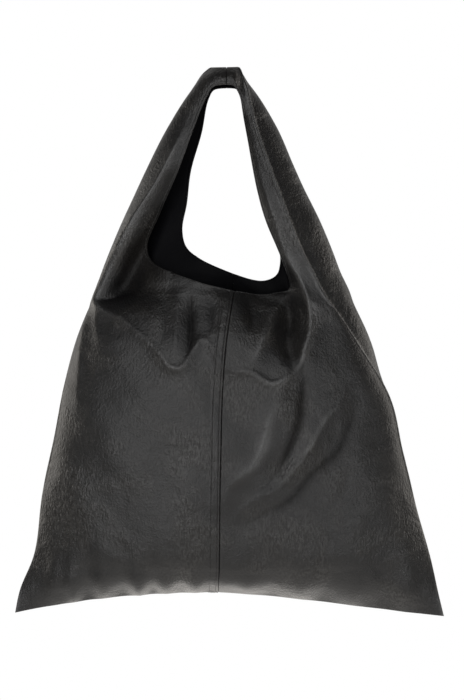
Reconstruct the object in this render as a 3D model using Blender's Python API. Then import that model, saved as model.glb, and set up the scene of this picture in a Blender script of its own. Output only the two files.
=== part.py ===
"""Slouch tote bag of supple imitation leather, hung by its strap from a narrow hook.

Four outer panels run from the bottom seam up through the body and into the strap, so the strap is
part of the body. They are joined by a front and a back centre seam, two side seams, the bottom seam
and a short seam on top of the strap. Two facings of the same leather line the strap and the mouth,
and two lining panels hang from them inside the body.

Every panel is a loft through stations, counted along the bag from the left bottom corner, up the
body, over the strap's crown and down to the right bottom corner. At each station a row runs from an
inner edge (the centre seam, then the hem of the mouth and the strap) to the side seam, which is
also the strap's outer fold.

Metres, +Z up. The bag's front faces -Y. The origin is on the flat underside of the strap's crown,
where the strap rests on the hook.
"""

import bmesh
import bpy
import numpy as np

# Outer sizes of the hung and filled bag
LEFT_REACH = 0.243          # hook line to the left bottom corner
RIGHT_REACH = 0.250         # hook line to the right bottom corner
LEFT_CORNER_DROP = 0.6235   # crown's underside to the left bottom corner
RIGHT_CORNER_DROP = 0.6275  # and to the right one
BOTTOM_DROP = 0.599         # crown's underside to the middle of the bottom seam
BELLY_DEPTH = 0.114         # front to back at the fullest point
SEAM_X = -0.009             # bottom end of the centre seams
MOUTH_X = 0.009             # upper end of the centre seams

# Mouth and strap
FRONT_MOUTH_DROP = 0.254    # crown's underside to the middle of the front edge
BACK_MOUTH_DROP = 0.233     # crown's underside to the middle of the back edge
MOUTH_GAP = 0.050           # front edge to back edge at the middle
LEFT_SHOULDER = 0.155       # hook line to where the left side seam leaves the body
LEFT_SHOULDER_DROP = 0.270  # crown's underside to that point
RIGHT_SHOULDER = 0.131      # the same on the right
RIGHT_SHOULDER_DROP = 0.290
LEFT_TWIST = 0.018          # how far the strap's left fold is turned back
RIGHT_TWIST = 0.030         # how far the strap's right fold is turned forward
CROWN_RISE = 0.0065         # how far the strap would arch above the hook if nothing pressed it flat
CROWN_DEPTH = 0.034         # front flap to back flap over the hook
FLAP_DROP = 0.018           # how far the strap's two flaps hang beside the hook

# Sheet materials and the clearance between touching pieces
LEATHER = 0.0013
FACING = 0.0010
LINING = 0.0008
CLEARANCE = 0.0003
SEAM_GAP = 0.0004           # between two panels at their seam
FACING_DEPTH = 0.026        # how far the facings reach down the side seams from the shoulders
LINING_LAP = 0.006          # how far the linings reach up behind the facings
FACING_OVERRUN = 0.0145     # how far the left facing runs past the crown's middle

# Stations of the body, from the bottom corner to the shoulder. Columns: how far the side seam lies
# out towards the corner on the left and on the right, how far down it lies, its share of the left
# and of the right twist, and the roundness of the row, from 0 for two flat sheets to 1 for an oval.
BODY_SIDES = (
    (1.00, 1.00, 1.00, 0.00, 0.00, 0.00),
    (0.94, 0.95, 0.93, 0.00, 0.00, 0.15),
    (0.76, 0.88, 0.82, 0.00, 0.00, 0.40),
    (0.64, 0.72, 0.62, 0.00, 0.00, 0.60),
    (0.49, 0.585, 0.44, 0.00, 0.13, 0.70),
    (0.34, 0.45, 0.25, 0.10, 0.36, 0.80),
    (0.15, 0.17, 0.09, 0.40, 0.74, 0.90),
    (0.00, 0.00, 0.00, 0.56, 0.87, 0.95),
)
# The centre seams at the same stations. Columns: how far the seam lies towards its upper end,
# the front seam's share of the belly and of its drop, and the back seam's.
BODY_MIDDLES = (
    (0.00, 0.00, 1.000, 0.00, 1.000),
    (0.00, 0.46, 0.974, 0.46, 0.975),
    (0.05, 0.75, 0.893, 0.75, 0.899),
    (0.10, 0.96, 0.713, 0.96, 0.730),
    (0.17, 1.00, 0.525, 1.00, 0.552),
    (0.28, 0.88, 0.322, 0.91, 0.347),
    (0.60, 0.60, 0.133, 0.70, 0.156),
    (1.00, 0.39, 0.000, 0.49, 0.000),
)
# How the front row and the back row turn at the side seam at the same stations, in degrees.
LEFT_TURNS = ((0, 0), (0, 0), (0, 0), (0, 0), (0, 0), (3, 3), (10, 10), (18, 18))
RIGHT_TURNS = ((0, 0), (0, 0), (0, 0), (0, 0), (2, 5), (10, 22), (25, 57), (38, 65))
# How steeply the right rows dip as they leave the centre seams: the lowest along the bottom seam, the
# upper ones to pass under the mouth's edge.
RIGHT_DIPS = ((0.05, 0.05), (0.03, 0.03), (0, 0), (0, 0), (0, 0), (0, 0.1), (0.15, 0.35), (0.4, 0.7))
# The same for the first of the strap's stations, as shares of the rows' level part.
RIGHT_STRAP_DIPS = ((0.1, 0.2), (0.0, 0.05))

# Stations of the strap, from beside the mouth to next to the crown. Columns: the fold's share of
# the shoulder's reach, of its drop and of its twist, then for the front hem and for the back hem
# the share of the reach, of the drop and of the mouth's extra depth, then the turn of the front row
# and of the back row at the fold in degrees, and their sweep as a share of the row's width.
LEFT_STRAP = (
    (0.900, 0.883, 0.72, 0.27, 0.943, 0.8, 0.200, 0.917, 1.3, 27, 27, 0.68, 0.37),
    (0.813, 0.773, 0.89, 0.54, 0.860, 0.6, 0.310, 0.842, 1.1, 36, 36, 1.20, 0.53),
    (0.753, 0.700, 0.94, 0.59, 0.788, 0.5, 0.330, 0.767, 1.0, 42, 42, 1.40, 0.60),
    (0.653, 0.572, 1.00, 0.49, 0.614, 0.4, 0.297, 0.623, 0.7, 50, 50, 1.40, 0.70),
    (0.527, 0.407, 0.94, 0.345, 0.398, 0.4, 0.265, 0.437, 0.6, 52, 52, 1.40, 0.87),
    (0.390, 0.254, 0.72, 0.24, 0.212, 0.2, 0.187, 0.242, 0.4, 48, 48, 1.30, 0.95),
    (0.250, 0.111, 0.44, 0.15, 0.068, 0.1, 0.137, 0.065, 0.1, 35, 35, 1.25, 1.30),
    (0.145, 0.029, 0.19, 0.09, 0.009, 0.0, 0.090, 0.009, 0.0, 20, 20, 1.20, 1.35),
    (0.073, 0.004, 0.06, 0.05, 0.002, 0.0, 0.047, 0.002, 0.0, 8, 8, 1.35, 1.35),
)
RIGHT_STRAP = (
    (0.840, 0.891, 1.00, 0.403, 1.016, 0.9, 0.321, 1.037, 1.5, 75, 66, 0.45, 2.18),
    (0.740, 0.793, 1.00, 0.559, 0.979, 0.6, 0.458, 0.991, 1.4, 85, 67, 0.69, 2.72),
    (0.680, 0.735, 1.00, 0.504, 0.864, 0.4, 0.474, 0.921, 1.2, 90, 68, 0.81, 3.00),
    (0.550, 0.610, 0.95, 0.357, 0.670, 0.0, 0.406, 0.750, 0.9, 90, 68, 0.83, 3.15),
    (0.427, 0.470, 0.86, 0.275, 0.504, -0.3, 0.385, 0.567, 0.7, 92, 66, 0.90, 3.00),
    (0.359, 0.387, 0.77, 0.238, 0.398, -0.5, 0.366, 0.451, 0.6, 92, 66, 0.95, 2.90),
    (0.237, 0.222, 0.57, 0.165, 0.186, -0.7, 0.259, 0.219, 0.4, 78, 60, 0.90, 2.80),
    (0.145, 0.066, 0.27, 0.101, 0.038, -0.2, 0.145, 0.042, 0.1, 32, 40, 1.00, 1.85),
    (0.076, 0.005, 0.07, 0.055, 0.003, 0.0, 0.069, 0.003, 0.0, 12, 15, 1.35, 1.35),
)
CROWN_SWEEP_SHARE = 1.4     # the same share at the crown itself
CORNER_PULL = {"left": 2.2, "right": 1.0}   # how steeply a flat row drops into each bottom corner
LEAST_CROSSING = 0.035      # the least pull of a round row across its side seam
SWING_SHARE = 0.35          # how much of a row's swing at the side seam it starts with at the centre seam

# The lining hangs inside the body. Columns: its inset from the side seam, from the seam below it
# and from the belly, in metres, at the body's stations.
LINING_INSETS = (
    (0.0260, 0.0120, 0.0000),
    (0.0160, 0.0090, 0.0050),
    (0.0090, 0.0040, 0.0040),
    (0.0060, 0.0000, 0.0036),
    (0.0045, 0.0000, 0.0034),
    (0.0040, 0.0000, 0.0032),
    (0.0032, 0.0000, 0.0030),
    (0.0030, 0.0000, 0.0030),
)

COLUMNS = 9                 # facets across a panel
ROWS_PER_STATION = (3, 3, 2, 2, 2, 2, 2, 2, 2, 2, 2, 2, 2, 2, 3, 4, 3)

FACES = {"front": -1, "back": 1}            # which way each lies along Y
SIDES = {"left": -1, "right": 1}            # and along X
SHOULDER_STATION = len(BODY_SIDES) - 1
CROWN_STATION = SHOULDER_STATION + len(LEFT_STRAP) + 1
SHARP_FROM = np.radians(40)                 # edges folded more than this stay sharp
ROW_ROOM = 0.16                             # least distance of a row from one at a piece's edge
ROUND_FROM = (3, 5)                         # the side seam's crease fades out between these stations
FACING_INSET = 2 * CLEARANCE                # leather to facing
LINING_INSET = FACING_INSET + FACING + 3 * CLEARANCE + LINING   # leather to the lining's inside
LINING_FOLLOWS_FROM = (4, 5.5)              # the lining comes to lie beside the shell between these stations
REST_PLATEAU = FACING + FACING_INSET        # the leather's underside over the hook


def clear_scene():
    for thing in list(bpy.data.objects):
        bpy.data.objects.remove(thing, do_unlink=True)


def material(name, colour, roughness):
    made = bpy.data.materials.new(name)
    made.use_nodes = True
    shader = made.node_tree.nodes["Principled BSDF"]
    shader.inputs["Base Color"].default_value = (*colour, 1.0)
    shader.inputs["Roughness"].default_value = roughness
    shader.inputs["Metallic"].default_value = 0.0
    return made


def between(near, far, share):
    return near + (far - near) * share


def through(knots, values, at):
    """A smooth curve through the values, one per knot, read at the given places."""
    steps = np.diff(knots)[:, None]
    slopes = np.diff(values, axis=0) / steps
    tangents = np.empty_like(values)
    tangents[1:-1] = (steps[1:] * slopes[:-1] + steps[:-1] * slopes[1:]) / (steps[1:] + steps[:-1])
    tangents[0] = 1.5 * slopes[0] - 0.5 * tangents[1]
    tangents[-1] = 1.5 * slopes[-1] - 0.5 * tangents[-2]
    cell = np.clip(np.searchsorted(knots, at, side="right") - 1, 0, len(knots) - 2)
    width = steps[cell]
    share = (np.asarray(at)[:, None] - knots[cell][:, None]) / width
    return hermite(values[cell], tangents[cell] * width, values[cell + 1], tangents[cell + 1] * width, share)


def hermite(start, start_tangent, end, end_tangent, share):
    return (
        (2 * share**3 - 3 * share**2 + 1) * start
        + (share**3 - 2 * share**2 + share) * start_tangent
        + (3 * share**2 - 2 * share**3) * end
        + (share**3 - share**2) * end_tangent
    )


def unit(vectors):
    return vectors / np.linalg.norm(vectors, axis=-1, keepdims=True)


def directions(points):
    """At each point of a grid, the mean direction square to the facets that meet there."""
    across = np.diff(points, axis=1)
    along = np.diff(points, axis=0)
    near = np.cross(across[:-1], along[:, 1:])
    far = np.cross(across[1:], along[:, :-1])
    mean = np.zeros_like(points)
    mean[:-1, :-1] += near + far
    mean[1:, 1:] += near + far
    mean[:-1, 1:] += near
    mean[1:, :-1] += far
    return unit(mean)


def crossing(turn):
    """The level direction in which a row crosses the fold from front to back."""
    return np.stack([np.sin(turn), np.cos(turn), np.zeros_like(turn)], axis=-1)


def body_stations(side):
    """Side seam, centre seams, roundness and turns at the body's stations."""
    sign, reach, corner_drop, shoulder, shoulder_drop, twist = side_sizes(side)
    sides = np.array(BODY_SIDES)
    middles = np.array(BODY_MIDDLES)
    column = list(SIDES).index(side)
    fold = np.stack([
        sign * between(shoulder, reach, sides[:, column]),
        twist * sides[:, 3 + column],
        -between(shoulder_drop, corner_drop, sides[:, 2]),
    ], axis=1)
    seam_x = between(SEAM_X, MOUTH_X, middles[:, 0])
    front = np.stack([
        seam_x,
        -middles[:, 1] * BELLY_DEPTH / 2,
        -between(FRONT_MOUTH_DROP, BOTTOM_DROP, middles[:, 2]),
    ], axis=1)
    back = np.stack([
        seam_x,
        middles[:, 3] * BELLY_DEPTH / 2,
        -between(BACK_MOUTH_DROP, BOTTOM_DROP, middles[:, 4]),
    ], axis=1)
    turns = np.radians(LEFT_TURNS if side == "left" else RIGHT_TURNS).T
    return fold, {"front": front, "back": back}, sides[:, 5], dict(zip(FACES, turns))


def side_sizes(side):
    if side == "left":
        return -1, LEFT_REACH, LEFT_CORNER_DROP, LEFT_SHOULDER, LEFT_SHOULDER_DROP, LEFT_TWIST
    return 1, RIGHT_REACH, RIGHT_CORNER_DROP, RIGHT_SHOULDER, RIGHT_SHOULDER_DROP, -RIGHT_TWIST


def fullness(roundness):
    """Sum of a row's two end tangents over its span: 2 makes a parabola, 1.657 a quarter of an oval."""
    return 2 - 0.343 * roundness


def body_tangents(inner, fold, roundness, turn, dip, corner_pull, towards):
    """A row's tangents where it leaves the centre seam, level or dipping, and at the side seam."""
    span = fold - inner
    arriving = span * fullness(roundness)[:, None]
    across = np.maximum(-towards * arriving[:, 1], LEAST_CROSSING * roundness)
    swing = -towards * np.tan(turn) * across
    arriving[:, 0] = span[:, 0] * (1 - roundness) + swing
    arriving[:, 1] = -towards * across
    arriving[:, 2] = span[:, 2] * between(corner_pull, 1, roundness)
    level = span[:, 0] * (fullness(roundness) - 1 + roundness) - SWING_SHARE * swing
    leaving = np.stack([level, 0 * level, -dip * np.abs(level)], axis=1)
    return leaving, arriving


def strap_stations(side):
    """Fold, hems, turns and sweeps at the strap's stations, upwards."""
    sign, _, _, shoulder, shoulder_drop, twist = side_sizes(side)
    table = np.array(LEFT_STRAP if side == "left" else RIGHT_STRAP)
    fold = np.stack([
        sign * shoulder * table[:, 0],
        twist * table[:, 2],
        between(CROWN_RISE, -shoulder_drop, table[:, 1]),
    ], axis=1)
    hems = {}
    for face, mouth_drop, first, towards in (
        ("front", FRONT_MOUTH_DROP, 3, -1), ("back", BACK_MOUTH_DROP, 6, 1),
    ):
        hems[face] = np.stack([
            sign * shoulder * table[:, first],
            towards * between(CROWN_DEPTH, MOUTH_GAP, table[:, first + 2]) / 2,
            -between(FLAP_DROP, mouth_drop, table[:, first + 1]),
        ], axis=1)
    turns = dict(zip(FACES, np.radians(table[:, 9:11]).T))
    return fold, hems, turns, dict(zip(FACES, table[:, 11:].T))


def strap_tangents(inner, fold, turn, share, dip, towards):
    """The same for a row of the strap, which crosses the fold level and swings out before it."""
    span = fold - inner
    arriving = -towards * crossing(turn) * (np.linalg.norm(span, axis=1) * share)[:, None]
    arriving[:, 2] = span[:, 2]
    leaving = fullness(1.0) * span - arriving
    leaving[:, 2] -= dip * np.abs(leaving[:, 0])
    return leaving, arriving


class Loft:
    """One side of the bag as rows from an inner edge to the side seam, from the bottom to the crown."""

    def __init__(self, side, lining=False):
        self.side = side
        fold, middles, roundness, turns = body_stations(side)
        strap_fold, hems, strap_turns, shares = strap_stations(side)
        steps = -np.diff(np.array(BODY_SIDES)[:, 2]) * (LEFT_CORNER_DROP - LEFT_SHOULDER_DROP)
        if lining:
            fold, middles = inset(side, fold, turns["front"], middles)
        self.fold = np.vstack([fold, strap_fold, [[0.0, 0.0, CROWN_RISE]]])
        self.turn = np.concatenate([sum(turns.values()) / 2, sum(strap_turns.values()) / 2, [0.0]])
        strap_steps = np.linalg.norm(np.diff(self.fold[SHOULDER_STATION:], axis=0), axis=1)
        self.knots = np.concatenate([[0.0], np.cumsum(np.concatenate([steps, strap_steps]))])
        self.middle = middles
        self.hem = {}
        self.tangents = {}
        dips = np.zeros((CROWN_STATION + 1, len(FACES)))
        if side == "right":
            shaped = RIGHT_DIPS + RIGHT_STRAP_DIPS
            dips[:len(shaped)] = shaped
        for (face, towards), dip in zip(FACES.items(), dips.T):
            crown_hem = [[0.0, towards * CROWN_DEPTH / 2, -FLAP_DROP]]
            strap = np.vstack([hems[face], crown_hem])
            self.hem[face] = np.vstack([middles[face][-1:], strap])
            strap_share = np.append(shares[face], CROWN_SWEEP_SHARE)
            strap_turn = np.append(strap_turns[face], 0.0)
            above = self.fold[SHOULDER_STATION + 1:]
            body = body_tangents(
                middles[face], fold, roundness, turns[face], dip[:len(fold)], CORNER_PULL[side], towards,
            )
            upper = strap_tangents(strap, above, strap_turn, strap_share, dip[len(fold):], towards)
            self.tangents[face] = [np.vstack(pair) for pair in zip(body, upper)]

    def places(self, stations):
        return np.interp(stations, np.arange(len(self.knots)), self.knots)

    def edge(self, face, at):
        """The centre seam up to the shoulder's station and the hem above it."""
        shoulder = SHOULDER_STATION
        below = through(self.knots[:shoulder + 1], self.middle[face], np.minimum(at, self.knots[shoulder]))
        above = through(self.knots[shoulder:], self.hem[face], np.maximum(at, self.knots[shoulder]))
        return np.where((at <= self.knots[shoulder])[:, None], below, above)

    def surface(self, face, stations):
        """Points and outward directions, a row for each station and a column from the edge to the fold."""
        at = self.places(stations)
        share = np.linspace(0, 1, COLUMNS + 1)[None, :, None]
        inner = self.edge(face, at)[:, None]
        fold = through(self.knots, self.fold, at)[:, None]
        leaving, arriving = (through(self.knots, ends, at)[:, None] for ends in self.tangents[face])
        points = hermite(inner, leaving, fold, arriving, share)
        points[..., 2] = np.minimum(points[..., 2], REST_PLATEAU)
        return points, directions(points) * -SIDES[self.side] * FACES[face]


def inset(side, fold, turn, middles):
    """The side seam and the centre seams of the lining, inside those of the shell."""
    inward, up, behind = np.array(LINING_INSETS).T
    to_middle = -SIDES[side] * inward
    fold = fold + np.stack([to_middle * np.cos(turn), -to_middle * np.sin(turn), up], axis=1)
    moved = {}
    for face, towards in FACES.items():
        moved[face] = middles[face] + np.stack([0 * up, -towards * behind, up], axis=1)
    return fold, moved


def all_rows(chosen):
    """The stations of all rows, with the chosen ones in the place of any close to them."""
    regular = [
        station + row / rows
        for station, rows in enumerate(ROWS_PER_STATION)
        for row in range(rows)
    ]
    free = [row for row in regular if min(abs(row - mark) for mark in chosen) > ROW_ROOM]
    return np.array(sorted([*free, *chosen, CROWN_STATION]))


def surfaces(lofts, face, stations):
    """The face's two sides at the same stations, with one shared direction where their edges meet."""
    sides = {side: lofts[side].surface(face, stations) for side in SIDES}
    left, right = (sides[side][1] for side in SIDES)
    seam = stations <= SHOULDER_STATION
    left[seam, 0] = right[seam, 0] = unit(left[seam, 0] + right[seam, 0])
    if stations[-1] == CROWN_STATION:
        left[-1] = right[-1] = unit(left[-1] + right[-1])
    return sides


def shell(lofts, stations):
    """Both faces' surfaces, whose directions come together at the fold where it is round."""
    faces = {face: surfaces(lofts, face, stations) for face in FACES}
    round_here = np.interp(stations, ROUND_FROM, (0, 1))[:, None]
    for side in SIDES:
        front, back = (faces[face][side][1] for face in FACES)
        shared = front[:, -1] + back[:, -1]
        for outward in (front, back):
            outward[:, -1] = unit(between(outward[:, -1], shared, round_here))
    return faces


def make_panels(lofts, rows, leather):
    for face, sides in shell(lofts, rows).items():
        for side, (points, outward) in sides.items():
            turn = np.interp(lofts[side].places(rows), lofts[side].knots, lofts[side].turn)
            apart = crossing(turn) * FACES[face] * SEAM_GAP / 2
            apart[:, 0] += SIDES[side] * SEAM_GAP / 2
            inner = points + apart[:, None]
            turned = slice(None, None, -FACES[face] * SIDES[side])
            outer = inner + LEATHER * outward
            sheet_solid(f"{face}_{side}_panel", outer[:, turned], inner[:, turned], leather[side, face])


def ring(faces, side):
    """One side's rows from the front edge over the fold to the back edge."""
    front, back = (faces[face][side] for face in FACES)
    return [np.concatenate([near, far[:, -2::-1]], axis=1) for near, far in zip(front, back)]


def make_facings(lofts, rows, joint, facing):
    faces = shell(lofts, rows)
    points, outward = ring(faces, "right")
    cut = list(rows).index(joint)
    upward = unit(np.cross(outward[cut], np.gradient(points[cut], axis=0)))
    below, past = points[:cut + 1].copy(), points[cut:].copy()
    below[-1] -= upward * SEAM_GAP / 2
    past[0] += upward * SEAM_GAP / 2
    left_rows = ring(faces, "left")
    grids = {
        "left": [np.concatenate([up, down[-2::-1]]) for up, down in zip(left_rows, (past, outward[cut:]))],
        "right": [below, outward[:cut + 1]],
    }
    for side, (points, outward) in grids.items():
        points, outward = points[:, ::SIDES[side]], outward[:, ::SIDES[side]]
        outer = points + [SIDES[side] * SEAM_GAP / 2, 0, 0] - FACING_INSET * outward
        inner = outer - FACING * outward
        outer[..., 2] = np.minimum(outer[..., 2], FACING)
        inner[..., 2] = np.minimum(inner[..., 2], 0)
        sheet_solid(f"{side}_facing", outer, inner, facing[side])


def station_below_shoulder(lofts, depth):
    knots = lofts["left"].knots
    return np.interp(knots[SHOULDER_STATION] - depth, knots, np.arange(len(knots)))


def joint_station(lofts):
    """Where the left facing ends, past the crown on the right side."""
    right = lofts["right"]
    stations = np.linspace(CROWN_STATION - 2, CROWN_STATION, 200)
    reach = through(right.knots, right.fold, right.places(stations))[:, 0]
    return np.interp(-FACING_OVERRUN, -reach, stations)


def make_linings(lofts, rows, lining):
    inside = {side: Loft(side, lining=True) for side in SIDES}
    beside_shell = np.interp(rows, LINING_FOLLOWS_FROM, (0, 1))[:, None, None]
    hung = shell(inside, rows)
    for face, sides in shell(lofts, rows).items():
        halves = []
        for side, (points, outward) in sides.items():
            free, free_outward = hung[face][side]
            followed = points - LINING_INSET * outward
            place = between(free, followed, beside_shell)
            halves.append((place, unit(between(free_outward, outward, beside_shell))))
        points, outward = (np.concatenate([far[:, :0:-1], near], axis=1) for far, near in zip(*halves))
        points, outward = points[:, ::-FACES[face]], outward[:, ::-FACES[face]]
        inner = points + [0, FACES[face] * SEAM_GAP, 0]
        sheet_solid(f"{face}_lining", inner + LINING * outward, inner, lining[face])


def sheet_solid(name, outer, inner, made_of):
    """A closed solid between two grids of points with the same rows and columns.

    The columns of every grid run the same way round the bag, so that the facets of sheets that lie
    on one another are split alike.
    """
    rows, columns = outer.shape[:2]
    mesh = bmesh.new()
    layers = [[[mesh.verts.new(point) for point in row] for row in grid] for grid in (outer, inner)]
    for row in range(rows - 1):
        for column in range(columns - 1):
            for grid, flip in zip(layers, (False, True)):
                near, far = grid[row][column:column + 2], grid[row + 1][column:column + 2]
                for corners in ((near[0], near[1], far[1]), (near[0], far[1], far[0])):
                    mesh.faces.new(corners[::-1] if flip else corners)
    outer_rim, inner_rim = (rim(grid) for grid in layers)
    for here in range(len(outer_rim)):
        following = (here + 1) % len(outer_rim)
        mesh.faces.new((outer_rim[following], outer_rim[here], inner_rim[here], inner_rim[following]))
    bmesh.ops.triangulate(mesh, faces=[face for face in mesh.faces if len(face.verts) > 3])
    if mesh.calc_volume(signed=True) < 0:
        bmesh.ops.reverse_faces(mesh, faces=mesh.faces)
    data = bpy.data.meshes.new(name)
    mesh.to_mesh(data)
    mesh.free()
    data.materials.append(made_of)
    data.shade_smooth()
    data.set_sharp_from_angle(angle=SHARP_FROM)
    made = bpy.data.objects.new(name, data)
    bpy.context.scene.collection.objects.link(made)
    return made


def rim(grid):
    """The grid's border once round."""
    return (
        grid[0][:-1]
        + [row[-1] for row in grid[:-1]]
        + grid[-1][:0:-1]
        + [row[0] for row in grid[:0:-1]]
    )


def main():
    clear_scene()
    lofts = {side: Loft(side) for side in SIDES}
    leather = {
        (side, face): material(f"{face}_{side}_leather", (0.012, 0.011, 0.012), 0.42)
        for side in SIDES for face in FACES
    }
    facing = {side: material(f"{side}_facing_leather", (0.020, 0.019, 0.021), 0.5) for side in SIDES}
    lining = {face: material(f"{face}_lining_cloth", (0.030, 0.028, 0.028), 0.85) for face in FACES}
    facing_edge = station_below_shoulder(lofts, FACING_DEPTH)
    lining_top = station_below_shoulder(lofts, FACING_DEPTH - LINING_LAP)
    joint = joint_station(lofts)
    rows = all_rows([facing_edge, lining_top, joint])
    make_panels(lofts, rows, leather)
    make_facings(lofts, rows[rows >= facing_edge], joint, facing)
    make_linings(lofts, rows[rows <= lining_top], lining)


main()
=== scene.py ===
import math

import bpy
import numpy as np
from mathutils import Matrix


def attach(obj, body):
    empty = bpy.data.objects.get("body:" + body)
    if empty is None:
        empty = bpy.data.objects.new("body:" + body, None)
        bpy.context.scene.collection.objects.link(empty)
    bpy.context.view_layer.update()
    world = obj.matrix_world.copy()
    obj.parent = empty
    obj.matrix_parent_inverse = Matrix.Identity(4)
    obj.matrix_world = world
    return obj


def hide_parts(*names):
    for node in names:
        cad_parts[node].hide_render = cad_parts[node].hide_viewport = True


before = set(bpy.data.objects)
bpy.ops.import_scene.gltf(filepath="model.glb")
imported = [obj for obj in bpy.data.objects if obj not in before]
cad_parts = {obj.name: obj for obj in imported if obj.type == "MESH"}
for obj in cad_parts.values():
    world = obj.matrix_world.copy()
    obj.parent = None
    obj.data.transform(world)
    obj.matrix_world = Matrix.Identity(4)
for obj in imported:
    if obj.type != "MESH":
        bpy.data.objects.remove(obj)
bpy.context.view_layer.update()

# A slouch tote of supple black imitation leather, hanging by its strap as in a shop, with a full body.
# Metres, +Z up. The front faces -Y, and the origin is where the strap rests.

bpy.ops.object.select_all(action="DESELECT")
scene = bpy.context.scene
scene.view_settings.view_transform = "Standard"

# Studio: the camera looks level at the front from 2.5 m. The world is dim behind the camera and pale
# behind the bag, and white where the camera looks. A pale floor lies below, and soft boxes stand around.

PIXEL = 0.00115
PICTURE_HEIGHT = 700
FILM_HEIGHT = 36
CAMERA_AWAY = 2.5
CAMERA_X, CAMERA_Z = 0.0063, -0.3214
camera_data = bpy.data.cameras.new("camera")
camera_data.sensor_fit = "VERTICAL"
camera_data.sensor_height = FILM_HEIGHT
camera_data.lens = FILM_HEIGHT * CAMERA_AWAY / (PICTURE_HEIGHT * PIXEL)
camera = bpy.data.objects.new("camera", camera_data)
scene.collection.objects.link(camera)
camera.location = (CAMERA_X, -CAMERA_AWAY, CAMERA_Z)
camera.rotation_euler = (math.pi / 2, 0, 0)
scene.camera = camera


def ramp(tree, value, low, high, to_low=0.0, to_high=1.0, shape="SMOOTHSTEP"):
    made = tree.nodes.new("ShaderNodeMapRange")
    made.interpolation_type = shape
    made.inputs["From Min"].default_value = low
    made.inputs["From Max"].default_value = high
    made.inputs["To Min"].default_value = to_low
    made.inputs["To Max"].default_value = to_high
    tree.links.new(value, made.inputs["Value"])
    return made.outputs["Result"]


def either(tree, question, when_no, when_yes):
    """One shader or the other, after what the light path says."""
    made = tree.nodes.new("ShaderNodeMixShader")
    tree.links.new(tree.nodes.new("ShaderNodeLightPath").outputs[question], made.inputs["Fac"])
    tree.links.new(when_no, made.inputs[1])
    tree.links.new(when_yes, made.inputs[2])
    return made.outputs["Shader"]


tent = bpy.data.worlds.new("tent")
scene.world = tent
tent.use_nodes = True
tree = tent.node_tree
tree.nodes.clear()
lit = tree.nodes.new("ShaderNodeBackground")
lit.inputs["Color"].default_value = (1.0, 0.985, 0.965, 1)
facing = tree.nodes.new("ShaderNodeSeparateXYZ")
tree.links.new(tree.nodes.new("ShaderNodeTexCoord").outputs["Generated"], facing.inputs["Vector"])
tree.links.new(ramp(tree, facing.outputs["Y"], -0.05, 0.75, 0.07, 0.60), lit.inputs["Strength"])
seen = tree.nodes.new("ShaderNodeBackground")
seen.inputs["Color"].default_value = (1, 1, 1, 1)
seen.inputs["Strength"].default_value = 1.0
shown = either(tree, "Is Camera Ray", lit.outputs["Background"], seen.outputs["Background"])
tree.links.new(shown, tree.nodes.new("ShaderNodeOutputWorld").inputs["Surface"])

FLOOR_SIZE = 6
FLOOR_Y, FLOOR_Z = -1.8, -0.95
bpy.ops.mesh.primitive_plane_add(size=FLOOR_SIZE, location=(0, 0, 0))
floor = bpy.context.object
floor.name = "floor"
for corner in floor.data.vertices:
    corner.co = (corner.co.x, corner.co.y + FLOOR_Y, FLOOR_Z)
pale = bpy.data.materials.new("pale_floor")
pale.use_nodes = True
tree = pale.node_tree
board = tree.nodes["Principled BSDF"]
board.inputs["Base Color"].default_value = (0.85, 0.85, 0.84, 1)
board.inputs["Roughness"].default_value = 0.7
# Painted light: for glossy rays the floor glows, a bright patch below the bag that fades outwards, seen in
# the leather's sheen
patch = tree.nodes.new("ShaderNodeEmission")
patch.inputs["Color"].default_value = (1.0, 0.97, 0.93, 1)
away = tree.nodes.new("ShaderNodeVectorMath")
away.operation = "DISTANCE"
away.inputs[1].default_value = (0, -0.05, FLOOR_Z)
tree.links.new(tree.nodes.new("ShaderNodeTexCoord").outputs["Object"], away.inputs[0])
tree.links.new(ramp(tree, away.outputs["Value"], 0.35, 0.95, 1.45, 0.45), patch.inputs["Strength"])
mirrored = either(tree, "Is Glossy Ray", board.outputs["BSDF"], patch.outputs["Emission"])
tree.links.new(mirrored, tree.nodes["Material Output"].inputs["Surface"])
floor.data.materials.append(pale)
floor.select_set(False)


def soft_box(name, place, aim, size, power, tone=(1.0, 1.0, 1.0)):
    lamp = bpy.data.lights.new(name, "AREA")
    lamp.shape = "RECTANGLE"
    lamp.size, lamp.size_y = size
    lamp.energy = power
    lamp.color = tone
    held = bpy.data.objects.new(name, lamp)
    scene.collection.objects.link(held)
    held.location = place
    held.visible_camera = False
    towards = np.array(aim) - np.array(place)
    level = math.hypot(towards[0], towards[1])
    held.rotation_euler = (
        math.atan2(level, -towards[2]),
        0,
        math.atan2(towards[1], towards[0]) - math.pi / 2,
    )


# The wings stand beside the bag and a little behind it, so that their warm light grazes its side seams
WARM = (1.0, 0.95, 0.88)
soft_box("key", (-1.0, -2.75, -0.35), (0, 0, -0.45), (1.7, 1.1), 24)
soft_box("fill", (1.35, -2.3, -0.6), (0, 0, -0.45), (0.8, 0.9), 14)
soft_box("above", (-0.2, -1.85, 0.85), (0, 0, -0.35), (2.2, 1.3), 17)
soft_box("left_wing", (-1.75, 0.45, -0.1), (0, 0, -0.3), (1.5, 1.3), 14.5, WARM)
soft_box("right_wing", (1.75, 0.45, -0.1), (0, 0, -0.3), (1.5, 1.3), 14, WARM)
soft_box("low", (0, 0.35, -0.92), (0, 0.1, -0.6), (1.6, 0.9), 4, WARM)

# Outer panels: four pieces of black imitation leather, each cut in one from the bottom seam up into
# the strap. They are sewn inside out and turned, so that each seam lies in a small ditch; the
# allowances of the centre seams are pressed to the left and topstitched down in two rows.

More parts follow.
